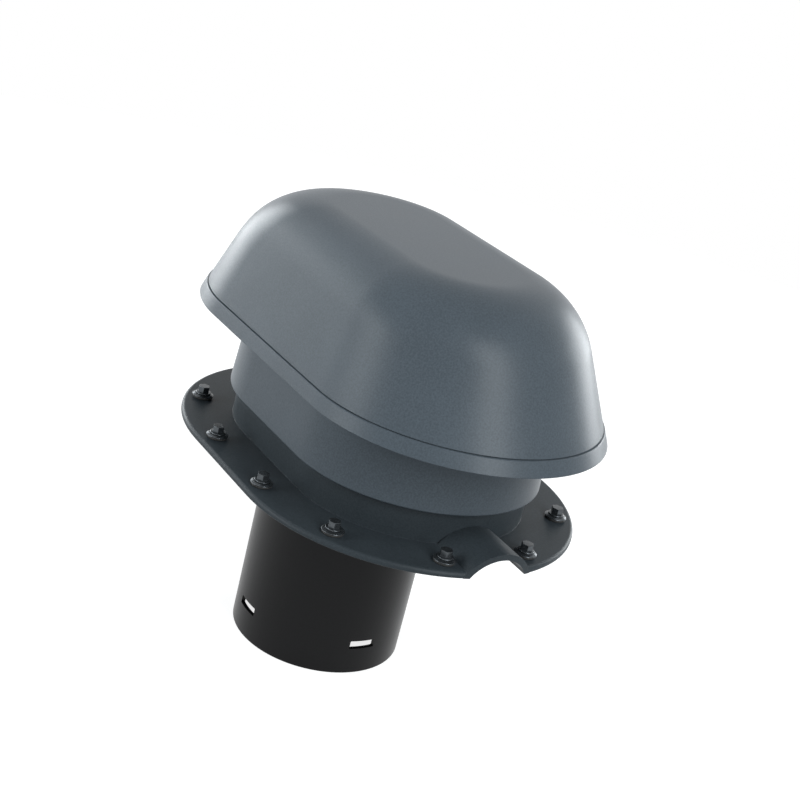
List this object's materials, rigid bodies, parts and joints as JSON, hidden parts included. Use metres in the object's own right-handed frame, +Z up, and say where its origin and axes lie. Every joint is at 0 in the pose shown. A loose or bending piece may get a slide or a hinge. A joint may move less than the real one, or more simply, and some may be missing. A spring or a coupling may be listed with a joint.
{
  "type": "roof vent pipe",
  "caption": "Low roof vent: a long rounded hood on a collar over a screwed flange, with a duct pipe below and a drain tunnel in front.",
  "frame": {"origin": "where the pipe's axis meets the underside of the flange, the plane of the roof sheet", "axes": "+Z up along the pipe's axis, +X towards the longer front of the hood and the drain tunnel, +Y to the left seen from behind"},
  "size_m": [0.3136, 0.211, 0.277],
  "materials": {
    "hood_plastic": "fine moulded grain",
    "base_plastic": "fine moulded grain",
    "pipe_plastic": "smooth, half matt",
    "seal_rubber": "matt",
    "screw_metal": "painted, half gloss",
    "washer_metal": "painted, half gloss",
    "inner_screw_metal": "zinc plated"
  },
  "bodies": {
    "root": {"duct_pipe": "pipe_plastic", "base_flange": "base_plastic", "flange_gasket": "seal_rubber", "pipe_seal": "seal_rubber", "flange_screws": "screw_metal", "screw_washers": "washer_metal", "screw_seals": "seal_rubber", "weather_collar": "hood_plastic", "hood_screws": "inner_screw_metal", "hood_shell": "hood_plastic", "hood_rim": "hood_plastic"}
  },
  "joints": []
}
